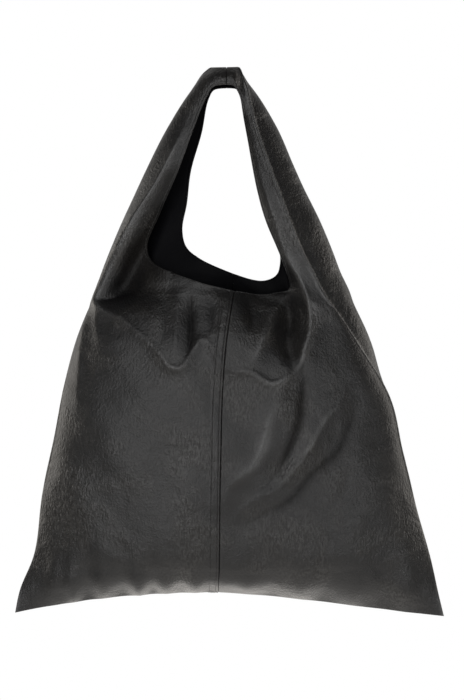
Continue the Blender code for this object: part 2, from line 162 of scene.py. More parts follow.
# The sizes of the solids that these panels replace. Reaches and shoulders are distances out from where
# the strap rests, corners and drops are distances down from there.
LEFT = {"reach": 0.243, "corner": 0.6235, "shoulder": 0.155, "shoulder_drop": 0.270, "twist": 0.018}
RIGHT = {"reach": 0.250, "corner": 0.6275, "shoulder": 0.131, "shoulder_drop": 0.290, "twist": -0.030}
SIZES = {"left": LEFT, "right": RIGHT}
BOTTOM_DROP = 0.599
BELLY_DEPTH = 0.114
SEAM_X, MOUTH_X = -0.009, 0.009
MOUTH_DROP = {"front": 0.254, "back": 0.233}
MOUTH_GAP = 0.050
CROWN_RISE, CROWN_DEPTH, FLAP_DROP = 0.0065, 0.034, 0.018
LEATHER, FACING = 0.0013, 0.0010
FACING_INSET = 0.0006
SEAM_GAP = 0.00006
# Which way each face and each side lies, along Y and along X
FACES = {"front": -1, "back": 1}
SIDES = {"left": -1, "right": 1}

# From the bottom corner to the shoulder: how far out the side seam lies on the left and right, how
# far down, its shares of the left and right twist, and how round the row across is.
BODY_SIDES = np.array((
    (1.00, 1.00, 1.00, 0.00, 0.00, 0.00),
    (0.94, 0.95, 0.93, 0.00, 0.00, 0.15),
    (0.76, 0.88, 0.82, 0.00, 0.00, 0.40),
    (0.64, 0.72, 0.62, 0.00, 0.00, 0.60),
    (0.48, 0.588, 0.44, 0.00, 0.13, 0.70),
    (0.33, 0.450, 0.25, 0.10, 0.36, 0.80),
    (0.15, 0.176, 0.09, 0.40, 0.74, 0.90),
    (0.00, 0.010, 0.00, 0.56, 0.87, 0.95),
))
# The centre seams at the same heights: their lean, then belly and drop of the front and of the back.
BODY_MIDDLES = np.array((
    (0.00, 0.00, 1.000, 0.00, 1.000),
    (0.00, 0.55, 0.970, 0.52, 0.974),
    (0.05, 0.85, 0.918, 0.82, 0.905),
    (0.10, 0.97, 0.713, 0.96, 0.730),
    (0.17, 1.00, 0.525, 1.00, 0.552),
    (0.28, 0.95, 0.322, 0.94, 0.347),
    (0.60, 0.76, 0.133, 0.75, 0.156),
    (1.00, 0.39, 0.000, 0.49, 0.000),
))
# How front and back rows turn at the side seam, in degrees, and how steeply they leave the middle.
BODY_TURNS = {
    "left": ((0, 0), (0, 0), (0, 0), (0, 0), (0, 0), (3, 3), (10, 10), (18, 18)),
    "right": ((0, 0), (0, 0), (0, 0), (0, 0), (2, 5), (10, 22), (25, 57), (38, 65)),
}
DIPS = {
    "left": (),
    "right": (
        (0.05, 0.05), (0.03, 0.03), (0, 0), (0, 0), (0, 0), (0, 0.1), (0.15, 0.35), (0.4, 0.7),
        (0.1, 0.2), (0.0, 0.05),
    ),
}
# How steeply a flat row drops into each bottom corner, the least pull of a round row across its side
# seam, and how much of its swing at the side seam a row starts with at the centre seam.
CORNER_PULL = {"left": 2.2, "right": 1.0}
LEAST_CROSSING = 0.035
SWING_SHARE = 0.35
# The strap, upwards: reach, drop and twist of its fold, reach, drop and depth of the front and of
# the back hem, turns of the front and back rows and their sweeps.
STRAP = {
    "left": np.array((
        (0.885, 0.883, 0.72, 0.27, 0.943, 0.8, 0.200, 0.917, 1.3, 27, 27, 0.68, 0.37),
        (0.793, 0.773, 0.89, 0.54, 0.860, 0.6, 0.310, 0.842, 1.1, 36, 36, 1.20, 0.53),
        (0.732, 0.700, 0.94, 0.59, 0.788, 0.5, 0.330, 0.767, 1.0, 42, 42, 1.40, 0.60),
        (0.632, 0.572, 1.00, 0.49, 0.614, 0.4, 0.297, 0.623, 0.7, 50, 50, 1.40, 0.70),
        (0.512, 0.407, 0.94, 0.345, 0.398, 0.4, 0.265, 0.437, 0.6, 52, 52, 1.40, 0.87),
        (0.390, 0.254, 0.72, 0.24, 0.212, 0.2, 0.187, 0.242, 0.4, 48, 48, 1.30, 0.95),
        (0.250, 0.111, 0.44, 0.15, 0.068, 0.1, 0.137, 0.065, 0.1, 35, 35, 1.25, 1.30),
        (0.145, 0.029, 0.19, 0.09, 0.009, 0.0, 0.090, 0.009, 0.0, 20, 20, 1.20, 1.35),
        (0.073, 0.004, 0.06, 0.05, 0.002, 0.0, 0.047, 0.002, 0.0, 8, 8, 1.35, 1.35),
    )),
    "right": np.array((
        (0.838, 0.891, 1.00, 0.403, 1.016, 0.9, 0.321, 1.037, 1.5, 75, 66, 0.45, 2.18),
        (0.726, 0.793, 1.00, 0.559, 0.979, 0.6, 0.458, 0.991, 1.4, 85, 67, 0.69, 2.72),
        (0.657, 0.735, 1.00, 0.504, 0.864, 0.4, 0.474, 0.921, 1.2, 90, 68, 0.81, 3.00),
        (0.545, 0.610, 0.95, 0.357, 0.670, 0.0, 0.406, 0.750, 0.9, 90, 68, 0.83, 3.15),
        (0.427, 0.470, 0.86, 0.275, 0.504, -0.3, 0.385, 0.567, 0.7, 92, 66, 0.90, 3.00),
        (0.359, 0.387, 0.77, 0.238, 0.398, -0.5, 0.366, 0.451, 0.6, 92, 66, 0.95, 2.90),
        (0.237, 0.222, 0.57, 0.165, 0.186, -0.7, 0.259, 0.219, 0.4, 78, 60, 0.90, 2.80),
        (0.145, 0.066, 0.27, 0.101, 0.038, -0.2, 0.145, 0.042, 0.1, 32, 40, 1.00, 1.85),
        (0.076, 0.005, 0.07, 0.055, 0.003, 0.0, 0.069, 0.003, 0.0, 12, 15, 1.35, 1.35),
    )),
}
CROWN_SWEEP_SHARE = 1.4
SHOULDER = len(BODY_SIDES) - 1
CROWN = SHOULDER + len(STRAP["left"]) + 1
REST_PLATEAU = FACING + FACING_INSET


def between(near, far, share):
    return near + (far - near) * share


def smooth(share):
    share = np.clip(share, 0, 1)
    return share * share * (3 - 2 * share)


def unit(vectors):
    return vectors / np.linalg.norm(vectors, axis=-1, keepdims=True)


def hermite(start, leaving, end, arriving, share):
    return (
        (2 * share**3 - 3 * share**2 + 1) * start
        + (share**3 - 2 * share**2 + share) * leaving
        + (3 * share**2 - 2 * share**3) * end
        + (share**3 - share**2) * arriving
    )


def through(knots, values, at):
    """A smooth curve through the values, one for each knot, read at the given places."""
    steps = np.diff(knots)[:, None]
    slopes = np.diff(values, axis=0) / steps
    tangents = np.empty_like(values)
    tangents[1:-1] = (steps[1:] * slopes[:-1] + steps[:-1] * slopes[1:]) / (steps[1:] + steps[:-1])
    tangents[0] = 1.5 * slopes[0] - 0.5 * tangents[1]
    tangents[-1] = 1.5 * slopes[-1] - 0.5 * tangents[-2]
    cell = np.clip(np.searchsorted(knots, at, side="right") - 1, 0, len(knots) - 2)
    width = steps[cell]
    share = (np.asarray(at)[:, None] - knots[cell][:, None]) / width
    return hermite(values[cell], tangents[cell] * width, values[cell + 1], tangents[cell + 1] * width, share)


def fullness(roundness):
    return 2 - 0.343 * roundness


class Side:
    """One side of the bag: its seam lines and the pull of its rows, read anywhere along it."""

    def __init__(self, side, lining_insets=None):
        sizes, sign = SIZES[side], SIDES[side]
        column = list(SIDES).index(side)
        out, down, round_here = BODY_SIDES[:, column], BODY_SIDES[:, 2], BODY_SIDES[:, 5]
        seam = np.stack([
            sign * between(sizes["shoulder"], sizes["reach"], out),
            sizes["twist"] * BODY_SIDES[:, 3 + column],
            -between(sizes["shoulder_drop"], sizes["corner"], down),
        ], axis=1)
        table = STRAP[side]
        strap_fold = np.stack([
            sign * sizes["shoulder"] * table[:, 0],
            sizes["twist"] * table[:, 2],
            between(CROWN_RISE, -sizes["shoulder_drop"], table[:, 1]),
        ], axis=1)
        body_turns = np.radians(BODY_TURNS[side])
        inward, up, behind = np.zeros((3, SHOULDER + 1)) if lining_insets is None else lining_insets.T
        seam = seam + np.stack([
            -sign * inward * np.cos(body_turns[:, 0]), sign * inward * np.sin(body_turns[:, 0]), up,
        ], axis=1)
        self.fold = np.vstack([seam, strap_fold, [[0, 0, CROWN_RISE]]])
        steps = -np.diff(down) * (LEFT["corner"] - LEFT["shoulder_drop"])
        strap_steps = np.linalg.norm(np.diff(self.fold[SHOULDER:], axis=0), axis=1)
        self.knots = np.concatenate([[0], np.cumsum(np.concatenate([steps, strap_steps]))])
        strap_turns = np.radians(table[:, 9:11])
        self.turn = np.concatenate([body_turns.mean(1), strap_turns.mean(1), [0]])
        dips = np.zeros((CROWN + 1, 2))
        dips[:len(DIPS[side])] = np.array(DIPS[side]).reshape(-1, 2)
        self.middle, self.hem, self.pulls = {}, {}, {}
        for order, (face, towards) in enumerate(FACES.items()):
            middle = np.stack([
                between(SEAM_X, MOUTH_X, BODY_MIDDLES[:, 0]),
                towards * BODY_MIDDLES[:, 1 + 2 * order] * BELLY_DEPTH / 2 - towards * behind,
                -between(MOUTH_DROP[face], BOTTOM_DROP, BODY_MIDDLES[:, 2 + 2 * order]) + up,
            ], axis=1)
            first = 3 + 3 * order
            strap = np.stack([
                sign * sizes["shoulder"] * table[:, first],
                towards * between(CROWN_DEPTH, MOUTH_GAP, table[:, first + 2]) / 2,
                -between(FLAP_DROP, MOUTH_DROP[face], table[:, first + 1]),
            ], axis=1)
            strap = np.vstack([strap, [[0, towards * CROWN_DEPTH / 2, -FLAP_DROP]]])
            self.middle[face] = middle
            self.hem[face] = np.vstack([middle[-1:], strap])
            dip = dips[:, order]
            span = seam - middle
            arriving = span * fullness(round_here)[:, None]
            across = np.maximum(-towards * arriving[:, 1], LEAST_CROSSING * round_here)
            swing = -towards * np.tan(body_turns[:, order]) * across
            arriving[:, 0] = span[:, 0] * (1 - round_here) + swing
            arriving[:, 1] = -towards * across
            arriving[:, 2] = span[:, 2] * between(CORNER_PULL[side], 1, round_here)
            level = span[:, 0] * (fullness(round_here) - 1 + round_here) - SWING_SHARE * swing
            leaving = np.stack([level, 0 * level, -dip[:len(seam)] * np.abs(level)], axis=1)
            above = self.fold[SHOULDER + 1:] - strap
            share = np.append(table[:, 11 + order], CROWN_SWEEP_SHARE)
            turn = np.append(strap_turns[:, order], 0)
            level = np.stack([np.sin(turn), np.cos(turn), 0 * turn], axis=1)
            strap_arriving = -towards * level * (np.linalg.norm(above, axis=1) * share)[:, None]
            strap_arriving[:, 2] = above[:, 2]
            strap_leaving = fullness(1.0) * above - strap_arriving
            strap_leaving[:, 2] -= dip[len(seam):] * np.abs(strap_leaving[:, 0])
            self.pulls[face] = np.vstack([leaving, strap_leaving]), np.vstack([arriving, strap_arriving])

    def edge(self, face, at):
        """The centre seam up to the shoulder's height and the hem above it."""
        top = self.knots[SHOULDER]
        below = through(self.knots[:SHOULDER + 1], self.middle[face], np.minimum(at, top))
        above = through(self.knots[SHOULDER:], self.hem[face], np.maximum(at, top))
        return np.where((at <= top)[:, None], below, above)


# Columns lie close together beside the seam, where the ditch and the topstitching are.
NEAR_SEAM = np.array((
    0, 0.25, 0.6, 1.1, 1.7, 2.2, 2.6, 3.0, 3.4, 3.8, 4.6, 5.8,
    7.2, 8.6, 9.4, 9.9, 10.3, 10.7, 11.2, 12.0, 13.2,
)) / 1000
NEAR_FOLD = np.array((5.0, 3.4, 2.2, 1.3, 0.6, 0.25, 0)) / 1000
ACROSS = 92
SHORT_ROW = 0.030


def columns(length):
    """Distances from the seam at which a row of the given length has its points, closer on a short row."""
    squeezed = min(1, length / SHORT_ROW)
    near_seam, near_fold = NEAR_SEAM * squeezed, NEAR_FOLD * squeezed
    inside = np.linspace(near_seam[-1], length - near_fold[0], ACROSS + 1)[1:-1]
    return np.concatenate([near_seam, inside, length - near_fold])


READINGS = 300


def sheet(side, face, at):
    """Points of one face, the distance of each from the seam and from the fold."""
    inner = side.edge(face, at)[:, None]
    fold = through(side.knots, side.fold, at)[:, None]
    leaving, arriving = (through(side.knots, pull, at)[:, None] for pull in side.pulls[face])
    even = np.linspace(0, 1, READINGS)
    fine = hermite(inner, leaving, fold, arriving, even[None, :, None])
    run = np.cumsum(np.linalg.norm(np.diff(fine, axis=1), axis=2), axis=1)
    run = np.concatenate([np.zeros((len(at), 1)), run], axis=1)
    reach = np.array([columns(length) for length in run[:, -1]])
    share = np.array([np.interp(wanted, here, even) for wanted, here in zip(reach, run)])
    points = hermite(inner, leaving, fold, arriving, share[..., None])
    points[..., 2] = np.minimum(points[..., 2], REST_PLATEAU)
    return points, reach, run[:, -1:] - reach


def directions(points):
    """At each point of a grid, the mean direction square to the faces that meet there."""
    across = np.diff(points, axis=1)
    along = np.diff(points, axis=0)
    near = np.cross(across[:-1], along[:, 1:])
    far = np.cross(across[1:], along[:, :-1])
    mean = np.zeros_like(points)
    mean[:-1, :-1] += near + far
    mean[1:, 1:] += near + far
    mean[:-1, 1:] += near
    mean[1:, :-1] += far
    return unit(mean)


# Folds drawn on the face as seen from in front, in millimetres. A roll is the edge of the leather
# that sags below the mouth: x, z, its height, then the widths of its inner and outer slope. A hollow
# is leather drawn in inside its line: x, z, depth and the distance over which it sinks, and where the
# depth is negative the leather stands proud instead. A crease has x, z and height, or a depth below
# zero, then the widths of its left and right slope.
ROLLS = {
    "front": (
        (-47, -66, 0.5, 5, 9), (-63, -100, 4.0, 5, 11), (-75, -126, 6.5, 5, 12), (-88, -149, 7.8, 5, 13),
        (-103, -172, 8.2, 5, 13), (-116, -195, 8.0, 4.5, 12), (-134, -229, 6.6, 4, 10),
        (-146, -256, 5.4, 3.5, 8), (-149, -267, 5.0, 3.5, 7), (-143, -275, 3.4, 4, 7),
        (-132, -281, 2.2, 4, 6), (-119, -287, 2.7, 3, 5), (-104, -299, 2.7, 2.5, 5), (-87, -313, 2.9, 2.4, 5),
        (-73, -328, 3.1, 2.4, 5), (-65, -339, 3.4, 2.4, 5), (-57, -343, 3.4, 2.4, 5),
        (-49, -341, 3.4, 2.4, 5), (-42, -330, 3.1, 2.4, 5), (-35, -318, 2.9, 2.4, 5),
        (-28, -310, 2.7, 2.4, 5), (-21, -312, 2.4, 2.4, 5), (-16, -322, 2.2, 2.4, 5),
        (-9, -335, 2.0, 2.4, 5), (-1, -342, 2.0, 2.4, 5),
        (7, -345, 2.2, 2.4, 5), (26, -347, 2.7, 2.4, 5), (36, -352, 3.2, 2.4, 5), (45, -358, 3.7, 2.4, 5),
        (52, -360, 3.7, 2.4, 5), (63, -356, 3.7, 2.6, 5), (75, -347, 2.6, 3, 6), (83, -338, 4.0, 3, 8),
        (88, -319, 5.4, 3, 9), (94, -301, 5.8, 3, 10), (95, -282, 5.8, 3, 10), (93, -264, 5.4, 3.5, 10),
        (85, -240, 4.6, 4, 10), (70, -214, 3.8, 5, 10), (56, -174, 3.0, 6, 10), (41, -126, 2.2, 7, 10),
        (29, -74, 1.4, 7, 10), (21, -34, 0.5, 7, 10),
    ),
    "back": (
        (34, -70, 0.4, 7, 10), (50, -124, 1.6, 6, 10), (66, -172, 2.6, 5, 10), (84, -220, 3.6, 4, 10),
        (92, -258, 4.2, 4, 9), (84, -284, 3.8, 5, 8), (66, -308, 3.6, 6, 7), (44, -328, 3.6, 5, 6),
        (14, -338, 2.4, 5, 6), (-16, -342, 2.0, 5, 6), (-44, -334, 3.0, 5, 6), (-70, -318, 3.0, 7, 7),
        (-96, -292, 3.2, 8, 8), (-108, -262, 4.4, 5, 9), (-106, -226, 4.4, 4, 10), (-90, -178, 3.4, 5, 10),
        (-66, -120, 2.0, 6, 10), (-41, -66, 0.5, 7, 10),
    ),
}
HOLLOWS = {
    "front": (
        (
            (-22, -60, 0.2, 24), (-47, -66, 0.5, 22), (-59, -91, 4, 20), (-79, -131, 16, 22),
            (-99, -168, 26, 22), (-119, -202, 31, 24), (-138, -238, 33, 28), (-146, -258, 28, 28),
            (-149, -267, 20, 24), (-141, -275, 8, 28), (-124, -288, 5, 45), (-98, -293, 6, 55),
            (-70, -284, 9, 52), (-46, -262, 12, 40), (-24, -240, 8, 26),
        ),
        (
            (-146, -276, -1, 8), (-132, -284, -1.4, 8), (-119, -290, -1.8, 8), (-104, -302, -2, 8),
            (-87, -316, -2, 8), (-73, -331, -2, 8), (-65, -342, -2, 8), (-57, -346, -2, 8),
            (-48, -344, -2, 8), (-40, -332, -1.8, 7), (-34, -321, -1.6, 7), (-28, -313, -1.5, 7),
            (-22, -315, -1.5, 7), (-17, -325, -1.5, 7), (-10, -338, -1.5, 7), (-1, -345, -1.5, 7),
            (7, -348, -1.5, 7), (26, -350, -1.8, 7), (36, -355, -2, 7), (45, -361, -2.2, 7),
            (53, -363, -2.2, 7), (64, -359, -2.2, 7), (76, -348, -2, 8), (76, -330, -1.5, 12),
            (66, -300, -1, 16), (66, -262, -1, 18), (70, -236, -1, 20), (-30, -222, -2, 24),
            (-70, -246, -1.5, 24), (-100, -262, -1, 24), (-130, -270, -0.6, 16),
        ),
        (
            (12, -236, 14, 26), (8, -262, 13, 30), (14, -285, 8, 34), (24, -308, 2.5, 36),
            (36, -326, 1.5, 32), (54, -340, 2, 26), (72, -342, 6, 18), (82, -335, 11, 18),
            (87, -319, 15, 22), (93, -301, 18, 25), (94, -282, 19, 27), (92, -264, 17, 27),
            (84, -240, 11, 25), (69, -214, 5, 22), (55, -174, 2.5, 24), (40, -126, 1, 24),
            (24, -118, 0.2, 24),
        ),
        (
            (-64, -250, 0.5, 14), (-40, -258, 3, 16), (-2, -266, 4, 16), (30, -272, 4, 16), (58, -274, 3, 16),
            (70, -262, 2, 14), (70, -200, 2, 14), (-20, -200, 4, 30), (-64, -215, 1, 20),
        ),
    ),
    "back": (
        (
            (24, -100, 0.2, 24), (46, -110, 1, 24), (62, -165, 4, 22), (80, -215, 9, 20), (88, -255, 11, 18),
            (80, -272, 9, 20), (60, -262, 6, 22), (42, -250, 2, 20), (34, -232, 1, 20),
        ),
        (
            (-36, -224, 1, 20), (-46, -248, 2, 20), (-66, -264, 6, 22), (-94, -278, 9, 22),
            (-105, -262, 11, 18), (-103, -226, 10, 18), (-88, -178, 6, 20), (-64, -120, 1, 24),
            (-30, -110, 0.2, 24),
        ),
    ),
}
CREASES = {
    "front": (
        # Pulls running down from the right shoulder to the centre seam, and the hollows between them
        ((
            (66, -361, 1.2), (58, -379, 2.4), (48, -402, 3.4), (43, -425, 4.0), (33, -448, 4.0),
            (22, -459, 3.4), (11, -467, 2.8), (2, -480, 2.0), (-2, -508, 0.4),
        ), 11.0, 9.0),
        ((
            (135, -365, 1.0), (128, -380, 2.2), (112, -398, 3.2), (97, -425, 3.6), (80, -450, 3.6),
            (57, -476, 3.2), (32, -489, 2.6), (20, -499, 1.8), (6, -515, 0.6),
        ), 8.0, 7.0),
        ((
            (87, -330, -0.8), (87, -352, -2.4), (85, -380, -3.6), (83, -402, -3.8), (73, -430, -3.8),
            (62, -454, -3.2), (48, -471, -2.2), (32, -484, -0.8),
        ), 6.0, 9.0),
        ((
            (149, -379, -0.8), (142, -402, -1.8), (128, -434, -2.4), (96, -462, -2.6), (70, -492, -2.4),
            (41, -508, -1.6), (22, -522, -0.6),
        ), 9.0, 12.0),
        # The fold from the mouth's right end towards the seam, and the soft flutes below the hem
        (((70, -256, 1.2), (56, -280, 4.6), (44, -305, 4.6), (34, -328, 3.2), (26, -342, 0.8)), 7.0, 8.0),
        (((22, -262, -0.6), (26, -276, -2.4), (28, -292, -2.4), (28, -304, -0.6)), 9.0, 9.0),
        ((
            (-42, -252, -0.8), (-41, -275, -3.0), (-40, -298, -3.6), (-42, -317, -3.0), (-46, -332, -0.8),
        ), 4.0, 5.0),
        (((-21, -258, -0.4), (-19, -275, -1.8), (-18, -290, -1.8), (-20, -304, -0.4)), 4.0, 4.0),
        (((-71, -262, -0.6), (-69, -280, -1.6), (-72, -304, -1.4), (-74, -318, -0.4)), 5.0, 5.0),
        (((-57, -256, 0.4), (-56, -280, 1.4), (-57, -305, 1.6), (-58, -322, 0.6)), 5.0, 5.0),
        # Two lines below the left shoulder
        ((
            (-157, -271, 0.6), (-161, -285, 1.4), (-166, -316, 1.7), (-168, -350, 1.6), (-170, -390, 0.5),
        ), 3.5, 5.0),
        (((-147, -270, 0.6), (-148, -284, 1.4), (-147, -300, 1.2), (-144, -320, 0.3)), 3.5, 4.0),
        # The ridge and the groove that run down the right of the strap
        ((
            (30, -62, 0.2), (34, -74, 1.0), (53, -108, 1.6), (71, -145, 1.6), (84, -184, 0.8),
            (92, -205, 0.2),
        ), 3.0, 3.5),
        (((29, -80, -0.3), (40, -109, -1.3), (60, -145, -2.0), (74, -176, -1.8), (83, -201, -0.5)), 3.0, 3.5),
    ),
    "back": (
        ((
            (-96, -352, 1.0), (-84, -384, 3.0), (-66, -420, 3.4), (-44, -450, 2.8),
            (-22, -474, 1.6), (-10, -500, 0.5),
        ), 6.0, 7.0),
        ((
            (-136, -370, -0.8), (-120, -410, -2.8), (-94, -446, -3.2), (-62, -478, -2.6), (-34, -500, -1.0),
        ), 8.0, 7.0),
        (((118, -340, 0.8), (104, -376, 2.4), (80, -410, 2.8), (52, -432, 1.8), (30, -446, 0.6)), 6.0, 8.0),
        (((40, -256, -0.8), (44, -275, -2.4), (40, -305, -2.4), (38, -322, -0.6)), 6.0, 6.0),
    ),
}
# Where the fullness is eased into the bottom seam: x, width and height of each small roll
PUCKERS = (
    (-196, 9, 1.2), (-176, 8, 2.0), (-158, 8, -1.2), (-142, 7, 1.4), (-118, 9, -1.6), (-100, 8, 2.4),
    (-84, 7, -1.6), (-68, 9, 1.8), (-52, 8, -1.2), (-36, 9, 1.6), (-18, 8, -1.0), (24, 9, 1.0),
    (52, 10, -1.2), (84, 10, 1.4), (112, 10, -1.0), (146, 11, 1.2), (180, 10, -1.0), (206, 9, 1.0),
)


def beside(line, places):
    """The drawn line's values beside each place, and the place's distance from it, positive on its left."""
    line = np.array(line, float)
    marks = np.concatenate([[0], np.cumsum(np.linalg.norm(np.diff(line[:, :2], axis=0), axis=1))])
    line = through(marks, line, np.linspace(0, marks[-1], 3 * len(line)))
    start, step = line[:-1, :2], np.diff(line[:, :2], axis=0)
    lengths = np.linalg.norm(step, axis=1)
    offset = places[:, None] - start
    share = np.clip((offset * step).sum(2) / lengths**2, 0, 1)
    away = offset - share[..., None] * step
    nearest = np.linalg.norm(away, axis=2).argmin(1)
    chosen = np.arange(len(places)), nearest
    away, share = away[chosen], share[chosen][:, None]
    side = np.sign(step[nearest, 0] * away[:, 1] - step[nearest, 1] * away[:, 0])
    values = between(line[:-1, 2:][nearest], line[1:, 2:][nearest], share)
    return values.T, side * np.linalg.norm(away, axis=1)


def bell(distance, width):
    return np.exp(-((distance / width) ** 2))


def fall(distance, left, right):
    """A crisp crest on a soft swell."""
    width = np.where(distance > 0, left, right)
    crest = np.exp(-(np.sqrt(distance**2 + 1.0) - 1.0) / (0.45 * width))
    return 0.6 * bell(distance, 1.6 * width) + 0.4 * crest


def crease(line, left, right, places):
    """Height of a fold that falls away from its line on both sides."""
    (tall,), distance = beside(line, places)
    return tall * fall(distance, left, right)


def roll(line, places):
    """Height of a fold whose slopes change along it."""
    (tall, inner, outer), distance = beside(line, places)
    return tall * fall(distance, inner, outer)


def within(line, places):
    """Whether each place lies inside the line, closed from its last mark to its first."""
    marks = np.array(line, float)[:, :2]
    ends = np.roll(marks, -1, axis=0)
    x, z = places[:, :1], places[:, 1:]
    spans = (marks[:, 1] > z) != (ends[:, 1] > z)
    rise = np.where(ends[:, 1] == marks[:, 1], 1, ends[:, 1] - marks[:, 1])
    crossed = marks[:, 0] + (z - marks[:, 1]) * (ends[:, 0] - marks[:, 0]) / rise
    return (spans & (x < crossed)).sum(1) % 2 == 1


def hollow(line, places):
    """How far the leather inside the line has sunk, by the depths and distances of the marks close by."""
    _, distance = beside(line, places)
    marks = np.array(line, float)
    weight = 1 / (((places[:, None] - marks[:, :2]) ** 2).sum(2) + 80) ** 2
    deep, wide = (weight @ marks[:, 2:] / weight.sum(1, keepdims=True)).T
    return np.where(within(line, places), deep * smooth(np.abs(distance) / wide), 0)


FOLD_FADES = {"left": 0.010, "right": 0.022}


def swell(x, z, shift):
    """The broad unevenness of a full body, from about -2 to 2, with a shift of its own on each face."""
    return (
        np.sin(x / 17 + shift) * np.sin(z / 23 + 0.6 * shift)
        + 0.8 * np.sin(x / 31 - z / 26 + 2.1 * shift)
        + 0.5 * np.sin(x / 11 + z / 19 + 0.4 + shift)
    )


def folded(face, name, points, from_seam, from_fold, up):
    """Height of the folds, how far the hollows have sunk, and the painted light: a highlight on the crests,
    shade in the hollows.
    """
    places = points[..., ::2].reshape(-1, 2) * 1000
    sunk = sum(hollow(line, places) for line in HOLLOWS[face]).reshape(from_seam.shape)
    lift = roll(ROLLS[face], places) + sum(crease(*fold, places) for fold in CREASES[face])
    lift = lift.reshape(from_seam.shape)
    # Painted light: a painted highlight on the fold crests and along the side fold, and painted shade in the
    # deep hollows and creases
    painted_light = {
        "painted_crest_highlight": np.maximum(smooth(lift / 4.5) ** 2, bell(from_fold, 0.0032)),
        "painted_hollow_shade": np.maximum(smooth((sunk - 5) / 13), 0.9 * smooth(-lift / 3.6)),
    }
    lift = lift * smooth(from_fold / FOLD_FADES[name]) * smooth(up / 0.012)
    x, z = places.T.reshape(2, *lift.shape)
    calm = smooth(from_fold / 0.040) * smooth(up / 0.050)
    share = calm * np.where(up <= top, 1, 0.4 * smooth(from_seam / 0.03))
    lift = lift + 0.9 * swell(x, z, 1.7 * FACES[face]) * share
    gathered = sum(tall * bell(x - middle, wide) for middle, wide, tall in PUCKERS)
    rise = up / 0.020
    lift = lift + 1.9 * gathered * rise * np.exp(1 - rise) * smooth(from_fold / 0.02)
    return lift / 1000, sunk * smooth(from_fold / 0.012) / 1000, painted_light


# The rows go through the heights where the facings and linings end: how far the facings reach down
# below the shoulders, how far the linings overlap them, and how far the left facing runs past the crown.
FACING_DEPTH = 0.026
LINING_LAP = 0.006
FACING_OVERRUN = 0.0145
sides = {side: Side(side) for side in SIDES}
top = sides["left"].knots[SHOULDER]
facing_edge = top - FACING_DEPTH
lining_top = facing_edge + LINING_LAP
ROW_PITCH = 0.0021


def spaced(*marks):
    """Places along the bag with even steps between the marks, all of which are among them."""
    parts = [
        np.linspace(near, far, max(2, round((far - near) / ROW_PITCH) + 1))[:-1]
        for near, far in zip(marks, marks[1:])
    ]
    return np.concatenate([*parts, marks[-1:]])


# Where the left facing ends, at its joint on the right of the crown
right_knots = sides["right"].knots
upper = np.linspace(right_knots[CROWN - 2], right_knots[CROWN], 200)
joint = np.interp(-FACING_OVERRUN, -through(right_knots, sides["right"].fold, upper)[:, 0], upper)
# Rows lie close together at the bottom seam and at the crown, where the leather's edges are rounded
NEAR_BOTTOM = np.array((0, 0.3, 0.8, 1.5, 2.6, 4.0)) / 1000
NEAR_CROWN = np.array((4.0, 2.6, 1.5, 0.8, 0.3, 0)) / 1000
rows = {}
for name, side in sides.items():
    crown = side.knots[CROWN]
    marks = [NEAR_BOTTOM[-1], facing_edge, lining_top, top]
    if name == "right":
        marks.append(joint)
    between_ends = spaced(*marks, crown - NEAR_CROWN[0])[:-1]
    rows[name] = np.concatenate([NEAR_BOTTOM[:-1], between_ends, crown - NEAR_CROWN])

# How many rows the body has up to the shoulders, where the strap's begin
body = (rows["left"] <= top).sum()
EASED_ROWS = 12
EASED_IN = 0.014
EASING_PASSES = 60


def eased(points, from_seam, from_fold):
    """Rounds the crease where the body's rows meet the strap's; the edges stay."""
    near = bell(np.arange(len(points)) - (body - 1), EASED_ROWS)[:, None]
    free = (near * smooth(from_seam / EASED_IN) * smooth(from_fold / EASED_IN))[1:-1, :, None]
    for _ in range(EASING_PASSES):
        points[1:-1] += 0.5 * free * ((points[:-2] + points[2:]) / 2 - points[1:-1])
    return points


def outwards(points, face, name):
    return directions(points) * -SIDES[name] * FACES[face]


def meet(left, right):
    """Gives both halves one direction where they meet, along the centre seam and over the crown."""
    left[:body, 0] = right[:body, 0] = unit(left[:body, 0] + right[:body, 0])
    left[-1] = right[-1] = unit(left[-1] + right[-1])


grids = {}
for face in FACES:
    for name, side in sides.items():
        points, from_seam, from_fold = sheet(side, face, rows[name])
        points = eased(points, from_seam, from_fold)
        grids[face, name] = [points, outwards(points, face, name), from_seam, from_fold]
    meet(*(grids[face, name][1] for name in SIDES))

# Each panel also keeps its painted highlight and painted shade
lifts, depths, painted_lights = {}, {}, {}
for (face, name), (points, outward, from_seam, from_fold) in grids.items():
    lift, sunk, painted_light = folded(face, name, points, from_seam, from_fold, rows[name][:, None])
    lifts[face, name], depths[face, name], painted_lights[face, name] = lift, sunk, painted_light
    points += outward * lift[..., None]
    points[..., 1] -= FACES[face] * sunk
    points[..., 2] = np.minimum(points[..., 2], REST_PLATEAU)
for face in FACES:
    for name in SIDES:
        grids[face, name][1] = outwards(grids[face, name][0], face, name)
    meet(*(grids[face, name][1] for name in SIDES))

# The side seam's crease fades out between these stations, and above them front and back turn as one
ROUND_FROM = (3, 5)
for name, side in sides.items():
    stations = np.interp(rows[name], side.knots, np.arange(len(side.knots)))
    round_here = np.interp(stations, ROUND_FROM, (0, 1))[:, None]
    both = [grids[face, name][1] for face in FACES]
    shared = both[0][:, -1] + both[1][:, -1]
    for outward in both:
        outward[:, -1] = unit(between(outward[:, -1], shared, round_here))


SHARP_FROM = math.radians(60)


